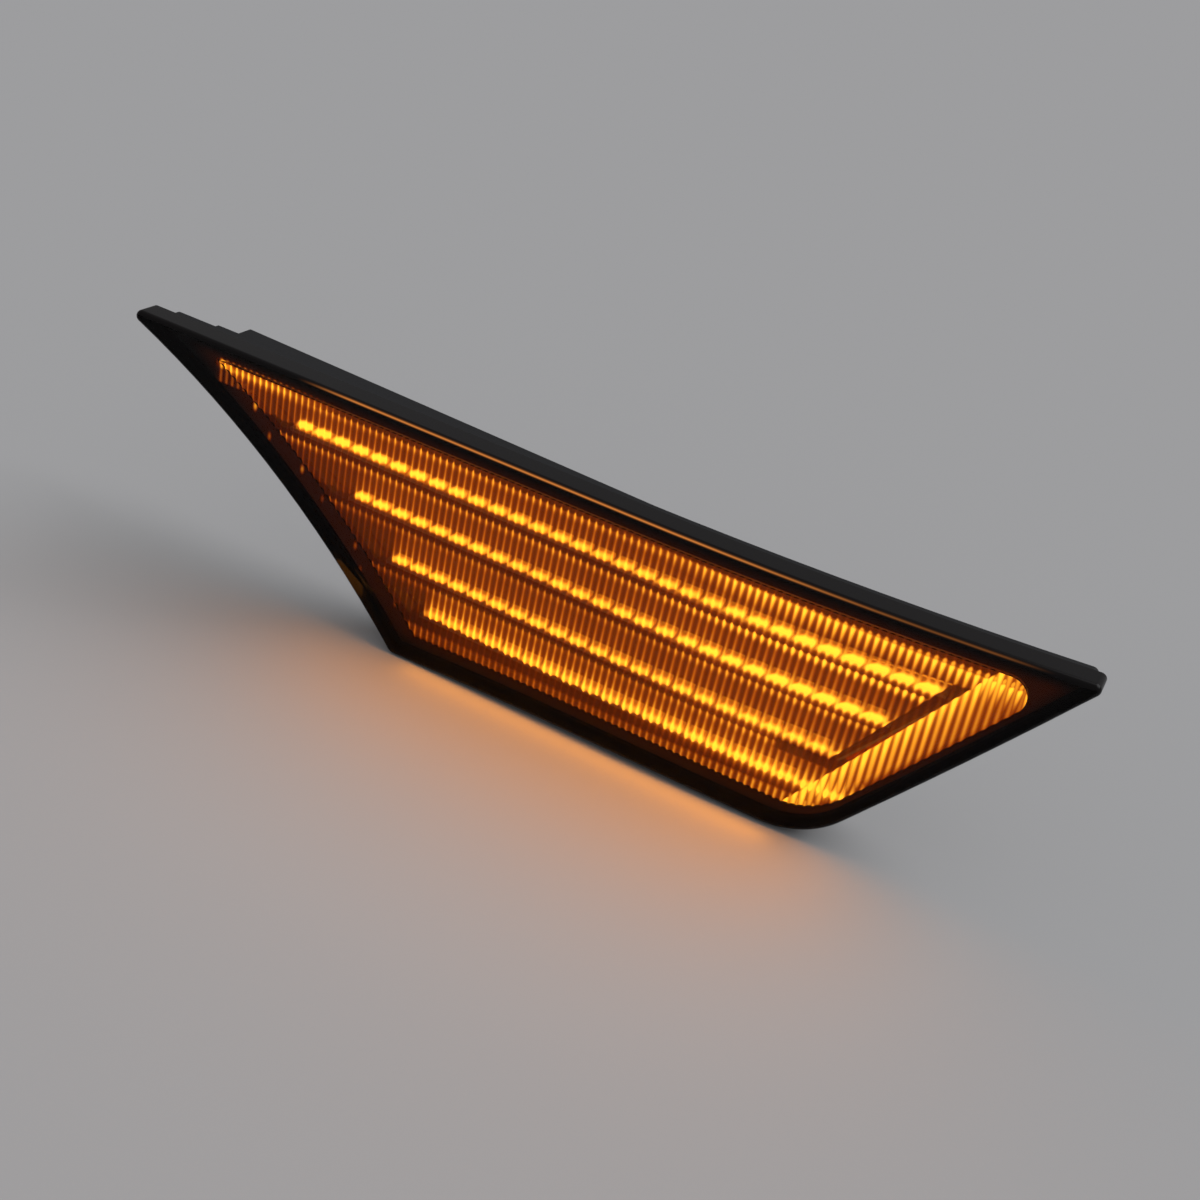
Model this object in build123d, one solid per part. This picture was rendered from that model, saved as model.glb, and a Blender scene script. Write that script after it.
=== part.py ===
"""Side repeater lamp: smoked fluted lens over a stepped reflector with LED rows.

Frame: X along the lamp, Z up, the lens faces -Y. The origin is on the axis of the
rear wire gland, at the back face of the housing's box. "Depth" is measured inwards
from the lens's front face, which is flat on the left and bends back on the right.
"""
import math
import os

from build123d import *

# Outline of the lens, seen from the front
TOP_Z = 26.5
BOTTOM_Z = -25.3
LEFT_TIP_X = -120.3
RIGHT_TIP_X = 88.4
LEFT_FOOT_X = -44.6
RIGHT_FOOT_X = 48.4
LEFT_EDGE_HOLLOW = 5.2
BOTTOM_EDGE_HOLLOW = 1.1
RIGHT_EDGE_SWELL = 0.3
RIGHT_FOOT_R = 18.0
LEFT_FOOT_R = 2.0

# Bend of the face, from the middle of the lamp to its right end
BEND_R = 560.0

# Lens
LENS_WALL = 2.2
LENS_DEPTH = 5.5
SKIRT_WALL = 1.8
LENS_EDGE_R = 1.2
TIP_MARGIN = 0.1
FLUTE_PITCH = 1.5
FLUTE_HEIGHT = 0.45
FLUTE_CREST = 0.5

# Lit window, as margins inside the outline
WINDOW_TOP = 4.6
WINDOW_BOTTOM = 5.0
WINDOW_LEFT = 6.5
WINDOW_RIGHT = 3.5
WINDOW_CORNER_R = 4.0

# Seal bead between the lens skirt and the housing rim
SEAL_HEIGHT = 0.5
SEAL_WIDTH = 1.0

# Housing: rim and tongue at the lens, box behind
RIM_INSET = 0.8
RIM_THICKNESS = 2.2
TONGUE_GAP = 0.3
TONGUE_WALL = 1.4
TRAY_FLOOR = 1.5
BOX_WALL = 1.5
BOX_BACK_WALL = 1.6
BOX_LEFT_END_X = -97.0
BOX_TOP_LEFT = 1.8
BOX_TOP_RIGHT = 6.5
BOX_LEFT = 4.2
BOX_RIGHT = 2.4
BOX_BOTTOM = 3.0
BOX_EDGE_R = 0.8
BOX_TIP_R = 1.6

# Bezel behind the lens
BEZEL_GAP = 0.5
BEZEL_THICKNESS = 1.0

# LED rows and their strips
ROW_COUNT = 4
ROW_Z = (13.5, 3.8, -6.4, -15.3)
ROW_LEFT_X = (-76.5, -59.5, -48.5, -41.0)
LED_PITCH = 4.65
LED_LENGTH = 3.4
LED_WIDTH = 2.6
LED_HEIGHT = 0.9
LED_SETBACK = 0.2
STRIP_THICKNESS = 0.8
STRIP_WIDTH = 4.1
STRIP_END = 1.2
TAB_WIDTH = 2.0

# Reflector
SHELF_DEPTH = 4.3
SHELF_THICKNESS = 0.7
SHELF_FRONT_GAP = 1.5
SHEET = 0.8
SPINE_HEIGHT = 1.2
SLOPE_TOP_SETBACK = 0.7
REFLECTOR_WALL = 0.8
REFLECTOR_OVERLAP = 0.4
FIT_GAP = 0.2

# Rib and lit strip at the right end
RIB_MARGIN = 10.7
RIB_WALL = 0.6
RIB_TOP_Z = 14.8
END_STRIP_THICKNESS = 0.6
END_STRIP_SETBACK = 0.3
END_LED_HEIGHT = 0.7
END_FLOOR_DROP = 3.2
END_FLOOR_MARGIN = 8.4
END_TOE_MARGIN = 5.3
LAST_ROW_MARGIN = 8.8

# Driver board and what it carries
BOARD_LEFT_X = -74.0
BOARD_RIGHT_X = -8.0
BOARD_BOTTOM_Z = 12.9
BOARD_TOP_Z = 20.4
BOARD_THICKNESS = 1.2
BOARD_STANDOFF = 1.4
BOSS_R = 2.2
BOSS_INSET = 3.2
SCREW_R = 0.9
SCREW_HEAD_R = 1.8
SCREW_HEAD_HEIGHT = 1.1
SCREW_TIP_GAP = 0.3
SCREW_CLEARANCE = 0.05
PART_PITCH = 3.6
RESISTOR_COUNT = 5
RESISTOR_SIZE = (1.6, 0.6, 3.2)
RESISTOR_FIRST_X = -64.0
CHIP_SIZE = (5.0, 1.5, 4.0)
CHIP_X = -43.5
DIODE_COUNT = 4
DIODE_SIZE = (2.6, 1.4, 4.2)
DIODE_FIRST_X = -37.0
CAPACITOR_R = 2.1
CAPACITOR_HEIGHT = 2.2
CAPACITOR_X = -21.5
PIN_R = 0.5
PIN_LENGTH = 1.9
PIN_PITCH = 2.5
PIN_X = -16.5
PIN_Z = 14.6

# Bus wires and the posts behind the reflector
WIRE_R = 0.4
WIRE_GAP = 1.25
WIRE_X = (-30.0, -24.0)
WIRE_OVERRUN = 1.2
POST_R = 1.8
POST_X = (-44.0, -8.0)

# Wire gland
GLAND_HOLE_R = 3.5
GLAND_BORE_R = 1.9
GLAND_FLANGE_R = 5.2
GLAND_FLANGE = 1.2
GLAND_LIP_R = 4.3
GLAND_LIP = 1.0
GLAND_NOSE_R = 3.0
GLAND_NOSE = 5.0

# Hook tab and snap arm that hold the lamp in the panel
PANEL_GAP = 3.0
HOOK_REACH = 7.0
HOOK_THICKNESS = 2.0
HOOK_BOTTOM_Z = 20.4
HOOK_TOP_Z = 23.6
ARM_X = 52.0
ARM_THICKNESS = 1.8
ARM_WIDTH = 9.0
ARM_LENGTH = 9.0
ARM_BARB = 1.6
ARM_BARB_LENGTH = 3.6

# How far a cutting body runs past the lamp
OVERRUN = 20.0
SPAN = TOP_Z - BOTTOM_Z + OVERRUN
REACH_LEFT = LEFT_TIP_X - OVERRUN
REACH_RIGHT = RIGHT_TIP_X + OVERRUN

# Depths of the layers behind the lens's front face
TIP_R = LENS_EDGE_R + TIP_MARGIN
SEAL_BACK = LENS_DEPTH + SEAL_HEIGHT
RIM_BACK = SEAL_BACK + RIM_THICKNESS
BEZEL_FRONT = LENS_WALL + FLUTE_HEIGHT + BEZEL_GAP
BEZEL_BACK = BEZEL_FRONT + BEZEL_THICKNESS
SHELF_FRONT = LENS_WALL + FLUTE_HEIGHT + SHELF_FRONT_GAP
SHELF_BACK = SHELF_FRONT + SHELF_DEPTH
SPINE_BACK = SHELF_BACK + SHEET
TONGUE_INSET = SKIRT_WALL + TONGUE_GAP
TRAY_INSET = TONGUE_INSET + TONGUE_WALL
TRAY_FLOOR_FRONT = RIM_BACK - TRAY_FLOOR
BOARD_FRONT = SPINE_BACK + WIRE_GAP + 2 * WIRE_R
LAMP_DEPTH = BOARD_FRONT + BOARD_THICKNESS + BOARD_STANDOFF + BOX_BACK_WALL

FRONT_Y = -LAMP_DEPTH
BOARD_BACK_Y = -BOX_BACK_WALL - BOARD_STANDOFF
BOARD_FRONT_Y = BOARD_BACK_Y - BOARD_THICKNESS
BOARD_MIDDLE_Z = (BOARD_BOTTOM_Z + BOARD_TOP_Z) / 2
SCREW_TIP_Y = BOARD_BACK_Y + BOARD_STANDOFF - SCREW_TIP_GAP
WIRE_Y = BOARD_FRONT_Y - WIRE_R


def plan_point(run, depth):
    """Point in plan at a distance along the face and a depth behind it."""
    if run <= 0:
        return (run, FRONT_Y + depth)
    turn = run / BEND_R
    radius = BEND_R - depth
    return (radius * math.sin(turn), FRONT_Y + BEND_R - radius * math.cos(turn))


def depth_at(point):
    """Depth of a point behind the face."""
    if point.X <= 0:
        return point.Y - FRONT_Y
    return BEND_R - math.hypot(point.X, FRONT_Y + BEND_R - point.Y)


def plan_turn(run):
    """Heading of the face in degrees at a distance along it."""
    return math.degrees(max(run, 0.0) / BEND_R)


def face_line(depth, start, end):
    """Straight run and tangent arc that follow the face at a depth, as edges."""
    middle = end / 2
    straight = Line(plan_point(start, depth), plan_point(0, depth))
    arc = ThreePointArc(plan_point(0, depth), plan_point(middle, depth), plan_point(end, depth))
    return [straight, arc]


def slab(front, back):
    """Curved layer between two depths, taller and longer than the lamp."""
    front_edges = face_line(front, REACH_LEFT, REACH_RIGHT)
    back_edges = face_line(back, REACH_LEFT, REACH_RIGHT)
    left_end = Line(plan_point(REACH_LEFT, front), plan_point(REACH_LEFT, back))
    right_end = Line(plan_point(REACH_RIGHT, front), plan_point(REACH_RIGHT, back))
    return extrude(make_face(front_edges + back_edges + [left_end, right_end]), SPAN, both=True)


def prism(region, front=FRONT_Y - SPAN, back=SPAN):
    """Front-view region carried through the lamp between two Y values."""
    return extrude(Plane.XZ.offset(-back) * region, back - front)


def block(x_range, y_range, z_range):
    """Box between two corners."""
    size = [high - low for low, high in (x_range, y_range, z_range)]
    middle = [(low + high) / 2 for low, high in (x_range, y_range, z_range)]
    return Pos(*middle) * Box(*size)


def rectangle(left, right, bottom, top):
    """Front-view rectangle between two corners."""
    return Pos((left + right) / 2, (bottom + top) / 2) * Rectangle(right - left, top - bottom)


def rod(radius, start_y, end_y, x, z):
    """Round bar along Y."""
    return extrude(Plane.XZ.offset(-end_y) * Pos(x, z) * Circle(radius), end_y - start_y)


# Front-view regions
def edge_circle(foot_x, tip_x, swell):
    """Centre and radius of a side edge that swells towards +X between foot and tip."""
    run = tip_x - foot_x
    rise = TOP_Z - BOTTOM_Z
    chord = math.hypot(run, rise)
    radius = (chord * chord / 4 + swell * swell) / (2 * swell)
    reach = radius - swell
    centre_x = (foot_x + tip_x) / 2 - rise / chord * reach
    centre_z = (TOP_Z + BOTTOM_Z) / 2 + run / chord * reach
    return centre_x, centre_z, radius


def left_x(z, margin=0.0):
    """X of the hollow left edge at a height, moved inwards by a margin."""
    x, middle, radius = edge_circle(LEFT_FOOT_X, LEFT_TIP_X, LEFT_EDGE_HOLLOW)
    return x + math.sqrt((radius + margin) ** 2 - (z - middle) ** 2)


def right_x(z, margin=0.0):
    """X of the swelling right edge at a height, moved inwards by a margin."""
    x, middle, radius = edge_circle(RIGHT_FOOT_X, RIGHT_TIP_X, RIGHT_EDGE_SWELL)
    return x + math.sqrt((radius - margin) ** 2 - (z - middle) ** 2)


def region(top, bottom, left, right):
    """Outline with each side moved inwards by its own margin."""
    high = TOP_Z - top
    low = BOTTOM_Z + bottom
    middle = (high + low) / 2
    foot = (right_x(low, right), low)
    heel = (left_x(low, left), low)
    arch = ((foot[0] + heel[0]) / 2, low + BOTTOM_EDGE_HOLLOW)
    face = make_face([
        Line((left_x(high, left), high), (right_x(high, right), high)),
        ThreePointArc((right_x(high, right), high), (right_x(middle, right), middle), foot),
        ThreePointArc(foot, arch, heel),
        ThreePointArc(heel, (left_x(middle, left), middle), (left_x(high, left), high)),
    ])
    return fillet(face.vertices().sort_by_distance((*foot, 0))[0], RIGHT_FOOT_R - right)


def inset(margin):
    """Outline moved inwards by the same margin all round."""
    return region(margin, margin, margin, margin)


def rounded(face):
    """Outline with its two tips and its left foot eased."""
    face = fillet(face.vertices().group_by(Axis.Y)[-1], TIP_R)
    foot = face.vertices().sort_by_distance((LEFT_FOOT_X, BOTTOM_Z, 0))[0]
    return fillet(foot, LEFT_FOOT_R)


def window():
    """Lit window, with its own margin on each side."""
    face = region(WINDOW_TOP, WINDOW_BOTTOM, WINDOW_LEFT, WINDOW_RIGHT)
    corner = face.vertices().sort_by_distance((RIGHT_TIP_X, TOP_Z, 0))[0]
    return fillet(corner, WINDOW_CORNER_R)


def reflector_outline(margin=0.0):
    """Reflector's outline: a little larger than the window, and clear of the tongue."""
    grow = margin - REFLECTOR_OVERLAP
    right = max(WINDOW_RIGHT - REFLECTOR_OVERLAP, TRAY_INSET + FIT_GAP) + margin
    return region(WINDOW_TOP + grow, WINDOW_BOTTOM + grow, WINDOW_LEFT + grow, right)


def box_top(x):
    """Height of the rear box's sloping top."""
    share = (x - BOX_LEFT_END_X) / (RIGHT_TIP_X - BOX_LEFT_END_X)
    return TOP_Z - BOX_TOP_LEFT - (BOX_TOP_RIGHT - BOX_TOP_LEFT) * share


def box_outline(margin=0.0):
    """Rear box, close to the rim at the upper left and further in to the right."""
    low = BOTTOM_Z + BOX_BOTTOM + margin
    left = BOX_LEFT_END_X + margin
    limits = make_face(Polyline(
        (left, low),
        (REACH_RIGHT, low),
        (REACH_RIGHT, box_top(REACH_RIGHT) - margin),
        (left, box_top(left) - margin),
        close=True,
    ))
    face = region(RIM_INSET, BOX_BOTTOM + margin, BOX_LEFT + margin, BOX_RIGHT + margin) & limits
    return fillet(face.vertices().sort_by(Axis.X)[-1], BOX_TIP_R)


def right_edge_x(z, margin):
    """X of the right edge's chord at a height, moved inwards by a margin."""
    lean = (RIGHT_TIP_X - RIGHT_FOOT_X) / (TOP_Z - BOTTOM_Z)
    return RIGHT_FOOT_X + lean * (z - BOTTOM_Z) - margin * math.hypot(1, lean)


def right_band(inner, outer):
    """Band parallel to the right edge, between two margins inside it."""
    return make_face(Polyline(
        (right_edge_x(BOTTOM_Z, inner), BOTTOM_Z),
        (right_edge_x(TOP_Z, inner), TOP_Z),
        (right_edge_x(TOP_Z, outer), TOP_Z),
        (right_edge_x(BOTTOM_Z, outer), BOTTOM_Z),
        close=True,
    ))


# Heights of the rows
def row_z(row):
    """Height of the LEDs' mid-line in a row."""
    return ROW_Z[row]


def strip_top(row):
    """Upper face of a row's circuit strip."""
    return row_z(row) - LED_HEIGHT / 2


def shelf_top(row):
    """Upper face of the shelf that carries a row's strip."""
    return strip_top(row) - STRIP_THICKNESS


def row_runs(row):
    """Distances along the face of a row's LEDs, counted back from the row's right end."""
    margin = RIB_MARGIN if row < ROW_COUNT - 1 else LAST_ROW_MARGIN
    last = right_edge_x(shelf_top(row), margin) - FIT_GAP - STRIP_END - LED_LENGTH / 2
    count = int((last - ROW_LEFT_X[row]) // LED_PITCH) + 1
    return [last - LED_PITCH * index for index in reversed(range(count))]


# Lens, seal, bezel
def make_outer_lens():
    """Smoked tray-shaped lens with upright flutes inside the window."""
    shell = slab(0, LENS_DEPTH) & prism(rounded(inset(0)))
    shell = fillet([edge for edge in shell.edges() if depth_at(edge @ 0.5) < FIT_GAP], LENS_EDGE_R)
    shell -= slab(LENS_WALL, LENS_DEPTH + SEAL_HEIGHT) & prism(inset(SKIRT_WALL))
    return shell + make_flutes()


def make_flutes():
    """Row of flat-crested flutes that stands on the lens's inner face."""
    high = TOP_Z - WINDOW_TOP
    start = left_x(high, WINDOW_LEFT) - FLUTE_PITCH / 2
    count = int((right_x(high, WINDOW_RIGHT) - start) // FLUTE_PITCH) + 2
    runs = [start + FLUTE_PITCH * index for index in range(count + 1)]
    points = [plan_point(start, LENS_WALL)]
    for left, right in zip(runs, runs[1:]):
        for side in (-FLUTE_CREST / 2, FLUTE_CREST / 2):
            points.append(plan_point((left + right) / 2 + side, LENS_WALL + FLUTE_HEIGHT))
        points.append(plan_point(right, LENS_WALL))
    root = LENS_WALL / 2
    back = face_line(root, runs[0], runs[-1])
    ends = [Line(plan_point(run, root), plan_point(run, LENS_WALL)) for run in (runs[0], runs[-1])]
    return extrude(make_face(Polyline(*points).edges() + back + ends), SPAN, both=True) & prism(window())


def make_lens_seal():
    """Bead of sealant under the lens skirt."""
    ring = rounded(inset(SKIRT_WALL - SEAL_WIDTH)) - inset(SKIRT_WALL)
    return slab(LENS_DEPTH, SEAL_BACK) & prism(ring)


def make_bezel():
    """Black mask with the window cut out."""
    return slab(BEZEL_FRONT, BEZEL_BACK) & prism(inset(TONGUE_INSET) - window())


# Housing
def make_housing():
    """Tray that takes the lens, with the rear box, its bosses and its fixings."""
    rim = slab(SEAL_BACK, RIM_BACK) & prism(rounded(inset(RIM_INSET)))
    tongue = slab(BEZEL_BACK, RIM_BACK) & prism(inset(TONGUE_INSET))
    hollow = slab(BEZEL_FRONT, TRAY_FLOOR_FRONT)
    tray = rim + tongue - (hollow & prism(inset(TRAY_INSET)))
    box = slab(RIM_BACK - TRAY_FLOOR / 2, LAMP_DEPTH * 2) & prism(box_outline(), back=0)
    box = fillet(box.edges().group_by(Axis.Y)[-1], BOX_EDGE_R)
    body = tray + box - prism(box_outline(BOX_WALL), back=-BOX_BACK_WALL)
    body -= rod(GLAND_HOLE_R, -LAMP_DEPTH, SPAN, 0, 0)
    for x, z in boss_places():
        body += rod(BOSS_R, BOARD_BACK_Y, -BOX_BACK_WALL, x, z)
        body -= rod(SCREW_R + SCREW_CLEARANCE, BOARD_BACK_Y, -BOX_BACK_WALL, x, z)
    for x, z in post_places():
        body += rod(POST_R, FRONT_Y + SPINE_BACK, -BOX_BACK_WALL, x, z)
    return body + make_hook() + make_snap_arm()


def boss_places():
    """Centres of the driver board's two bosses."""
    return [(BOARD_LEFT_X + BOSS_INSET, BOARD_MIDDLE_Z), (BOARD_RIGHT_X - BOSS_INSET, BOARD_MIDDLE_Z)]


def post_places():
    """Centres of the posts that back the reflector's spines."""
    return [(x, (shelf_top(row) + strip_top(row)) / 2) for x in POST_X for row in (1, 2)]


def make_hook():
    """Fixed tab that goes behind the panel at the left end."""
    front = FRONT_Y + RIM_BACK + PANEL_GAP
    box_end = max(BOX_LEFT_END_X, left_x(HOOK_BOTTOM_Z, BOX_LEFT))
    x_range = (box_end - HOOK_REACH, box_end + BOX_WALL)
    return block(x_range, (front, front + HOOK_THICKNESS), (HOOK_BOTTOM_Z, HOOK_TOP_Z))


def make_snap_arm():
    """Springy arm with a barb, standing on the back of the box."""
    start = -BOX_BACK_WALL / 2
    profile = make_face(Polyline(
        (ARM_X, start),
        (ARM_X + ARM_THICKNESS, start),
        (ARM_X + ARM_THICKNESS, ARM_LENGTH - ARM_BARB_LENGTH),
        (ARM_X + ARM_THICKNESS + ARM_BARB, ARM_LENGTH - ARM_BARB_LENGTH),
        (ARM_X + ARM_THICKNESS, ARM_LENGTH),
        (ARM_X, ARM_LENGTH),
        close=True,
    ))
    return extrude(profile, ARM_WIDTH / 2, both=True)


# Reflector
def reflector_profile():
    """Saw-tooth section: shelves for the strips, slopes that lean over them and an apron below."""
    slope_top = FRONT_Y + SHELF_FRONT + SLOPE_TOP_SETBACK
    apron_top = shelf_top(ROW_COUNT - 1)
    apron_bottom = BOTTOM_Z + WINDOW_BOTTOM - REFLECTOR_OVERLAP
    profile = rectangle(slope_top, slope_top + SHEET, apron_bottom, apron_top)
    for row in range(ROW_COUNT):
        top = shelf_top(row)
        above = TOP_Z - WINDOW_TOP + REFLECTOR_OVERLAP if row == 0 else shelf_top(row - 1) - SHELF_THICKNESS
        foot = top + SPINE_HEIGHT
        profile += make_face(Polyline(
            (FRONT_Y + SHELF_FRONT, top - SHELF_THICKNESS),
            (FRONT_Y + SPINE_BACK, top - SHELF_THICKNESS),
            (FRONT_Y + SPINE_BACK, foot),
            (slope_top + SHEET, above),
            (slope_top, above),
            (FRONT_Y + SHELF_BACK, foot),
            (FRONT_Y + SHELF_BACK, top),
            (FRONT_Y + SHELF_FRONT, top),
            close=True,
        ))
    return profile


def end_limits():
    """Front-view band, from the third shelf up to the box's top, that the right-hand rib divides."""
    lower = shelf_top(ROW_COUNT - 2) - SHELF_THICKNESS
    return rectangle(REACH_LEFT, REACH_RIGHT, lower, box_top(RIGHT_TIP_X) - BOX_WALL - FIT_GAP)


def rib_limits(trim=0.0):
    """Part of that band which is as tall as the rib, shortened at both ends."""
    lower = shelf_top(ROW_COUNT - 2) - SHELF_THICKNESS
    return rectangle(REACH_LEFT, REACH_RIGHT, lower + trim, RIB_TOP_Z - trim)


def end_zone():
    """Front-view region of the lit strip along the right edge."""
    return (right_band(RIB_MARGIN, 0) & end_limits()) + right_band(END_TOE_MARGIN, 0)


def end_sheet():
    """Bent sheet behind the lit strip: a floor by the rib and a slope up to the edge."""
    lean = (RIGHT_TIP_X - RIGHT_FOOT_X) / (TOP_Z - BOTTOM_Z)
    foot_back = plan_point(RIGHT_FOOT_X, 0)[1]
    tip_back = plan_point(RIGHT_TIP_X, 0)[1]
    section = Plane(
        (RIGHT_FOOT_X, foot_back, BOTTOM_Z),
        x_dir=Vector(1, 0, -lean),
        z_dir=Vector(lean, 0, 1),
    )
    floor = SHELF_FRONT + END_FLOOR_DROP
    profile = make_face(Polyline(
        (-RIB_MARGIN, floor),
        (-END_FLOOR_MARGIN, floor),
        (-TRAY_INSET, SHELF_FRONT),
        (-TRAY_INSET, SHELF_FRONT + SHEET),
        (-END_FLOOR_MARGIN, floor + SHEET),
        (-RIB_MARGIN, floor + SHEET),
        close=True,
    ))
    rise = Vector(RIGHT_TIP_X - RIGHT_FOOT_X, tip_back - foot_back, TOP_Z - BOTTOM_Z)
    return extrude(section * profile, rise.length, dir=rise)


def make_reflector():
    """Stepped reflector tray with its rib, end strip floor and slots for the tabs."""
    section = Plane((REACH_LEFT, 0, 0), x_dir=(0, 1, 0), z_dir=(1, 0, 0)) * reflector_profile()
    teeth = sweep(section, path=Wire(face_line(0, REACH_LEFT, REACH_RIGHT)))
    body = teeth & prism(reflector_outline() - end_zone())
    body += end_sheet() & prism(reflector_outline() & end_zone())
    rib = right_band(RIB_MARGIN, RIB_MARGIN - RIB_WALL) & rib_limits()
    body += slab(SHELF_FRONT, SHELF_FRONT + END_FLOOR_DROP + SHEET) & prism(rib)
    wall = reflector_outline() - reflector_outline(REFLECTOR_WALL)
    body += slab(BEZEL_BACK, TRAY_FLOOR_FRONT) & prism(wall)
    body -= slab(TRAY_FLOOR_FRONT, LAMP_DEPTH) - prism(box_outline(BOX_WALL + FIT_GAP))
    for row in range(ROW_COUNT):
        for x in WIRE_X:
            body -= tab(row, x, FIT_GAP)
    return body


# LED strips and LEDs
def tab(row, x, gap=0.0):
    """Solder tab that joins a strip to a bus wire, or the slot for it."""
    half = TAB_WIDTH / 2 + gap
    front = FRONT_Y + SHELF_FRONT + STRIP_WIDTH / 2
    return block((x - half, x + half), (front, WIRE_Y - WIRE_R), (shelf_top(row), strip_top(row) + gap))


def make_led_strip(row):
    """Circuit strip that lies on a shelf and follows the bend of the face."""
    runs = row_runs(row)
    overhang = LED_LENGTH / 2 + STRIP_END
    ends = (runs[0] - overhang, runs[-1] + overhang)
    strip = slab(SHELF_FRONT, SHELF_FRONT + STRIP_WIDTH) & block(ends, (-SPAN, 0), (shelf_top(row), strip_top(row)))
    for x in WIRE_X:
        strip += tab(row, x)
    return strip


def make_leds(row):
    """One row of LEDs standing on their strip."""
    depth = SHELF_FRONT + LED_SETBACK + LED_WIDTH / 2
    leds = []
    for run in row_runs(row):
        x, y = plan_point(run, depth)
        leds.append(Location((x, y, row_z(row)), (0, 0, plan_turn(run))) * Box(LED_LENGTH, LED_WIDTH, LED_HEIGHT))
    return Compound(leds)


def make_led_strip_end():
    """Circuit strip that stands against the outer side of the rib."""
    near = RIB_MARGIN - RIB_WALL
    region = right_band(near, near - END_STRIP_THICKNESS) & rib_limits(END_STRIP_SETBACK)
    return slab(SHELF_FRONT + END_STRIP_SETBACK, SHELF_FRONT + END_FLOOR_DROP) & prism(region)


def make_leds_end():
    """LEDs on the end strip, facing the right edge."""
    lean = (RIGHT_TIP_X - RIGHT_FOOT_X) / (TOP_Z - BOTTOM_Z)
    tilt = math.atan(lean)
    rise = LED_PITCH * math.cos(tilt)
    lower = shelf_top(ROW_COUNT - 2) + rise / 2
    count = int((RIB_TOP_Z - lower - rise / 2) // rise) + 1
    margin = RIB_MARGIN - RIB_WALL - END_STRIP_THICKNESS - END_LED_HEIGHT / 2
    depth = SHELF_FRONT + END_STRIP_SETBACK + LED_WIDTH / 2
    leds = []
    for index in range(count):
        z = lower + rise * index
        x = right_edge_x(z, margin)
        place = Location((x, plan_point(x, depth)[1], z), (0, math.degrees(tilt), 0))
        leds.append(place * Box(END_LED_HEIGHT, LED_WIDTH, LED_LENGTH))
    return Compound(leds)


# Driver board
def make_driver_board():
    """Board on the housing's two bosses, behind the upper slope of the reflector."""
    board = block((BOARD_LEFT_X, BOARD_RIGHT_X), (BOARD_FRONT_Y, BOARD_BACK_Y), (BOARD_BOTTOM_Z, BOARD_TOP_Z))
    for x, z in boss_places():
        board -= rod(SCREW_R + SCREW_CLEARANCE, BOARD_FRONT_Y, BOARD_BACK_Y, x, z)
    return board


def on_board(size, x):
    """Small component that stands on the front of the driver board."""
    width, height, length = size
    return Pos(x, BOARD_FRONT_Y - height / 2, BOARD_MIDDLE_Z) * Box(width, height, length)


def make_resistors():
    """Row of resistors on the driver board."""
    return Compound([on_board(RESISTOR_SIZE, RESISTOR_FIRST_X + PART_PITCH * i) for i in range(RESISTOR_COUNT)])


def make_rectifier_diodes():
    """Row of diodes on the driver board."""
    return Compound([on_board(DIODE_SIZE, DIODE_FIRST_X + PART_PITCH * i) for i in range(DIODE_COUNT)])


def make_controller_chip():
    """Chip that drives the rows."""
    return on_board(CHIP_SIZE, CHIP_X)


def make_smoothing_capacitor():
    """Low round capacitor."""
    return rod(CAPACITOR_R, BOARD_FRONT_Y - CAPACITOR_HEIGHT, BOARD_FRONT_Y, CAPACITOR_X, BOARD_MIDDLE_Z)


def make_supply_pins():
    """Two pins that the lead's wires are soldered to."""
    pins = [rod(PIN_R, BOARD_FRONT_Y - PIN_LENGTH, BOARD_FRONT_Y, PIN_X + PIN_PITCH * i, PIN_Z) for i in range(2)]
    return Compound(pins)


def make_board_screws():
    """Screws that hold the driver board on its bosses."""
    screws = []
    for x, z in boss_places():
        head = rod(SCREW_HEAD_R, BOARD_FRONT_Y - SCREW_HEAD_HEIGHT, BOARD_FRONT_Y, x, z)
        shank = rod(SCREW_R, BOARD_FRONT_Y, SCREW_TIP_Y, x, z)
        screws.append(head + shank)
    return Compound(screws)


def make_bus_wires():
    """Two bare wires that run up behind the reflector to the driver board."""
    lower = shelf_top(ROW_COUNT - 1) - WIRE_OVERRUN
    length = BOARD_BOTTOM_Z + WIRE_OVERRUN - lower
    return Compound([Pos(x, WIRE_Y, lower + length / 2) * Cylinder(WIRE_R, length) for x in WIRE_X])


def make_wire_gland():
    """Turned rubber gland with a lip on each side of the back wall and a tapered nose."""
    profile = make_face(Polyline(
        (GLAND_BORE_R, -BOX_BACK_WALL - GLAND_LIP),
        (GLAND_LIP_R, -BOX_BACK_WALL - GLAND_LIP),
        (GLAND_LIP_R, -BOX_BACK_WALL),
        (GLAND_HOLE_R, -BOX_BACK_WALL),
        (GLAND_HOLE_R, 0),
        (GLAND_FLANGE_R, 0),
        (GLAND_FLANGE_R, GLAND_FLANGE),
        (GLAND_HOLE_R, GLAND_FLANGE),
        (GLAND_NOSE_R, GLAND_NOSE),
        (GLAND_BORE_R, GLAND_NOSE),
        close=True,
    ))
    return revolve(profile, Axis.Y)


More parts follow.
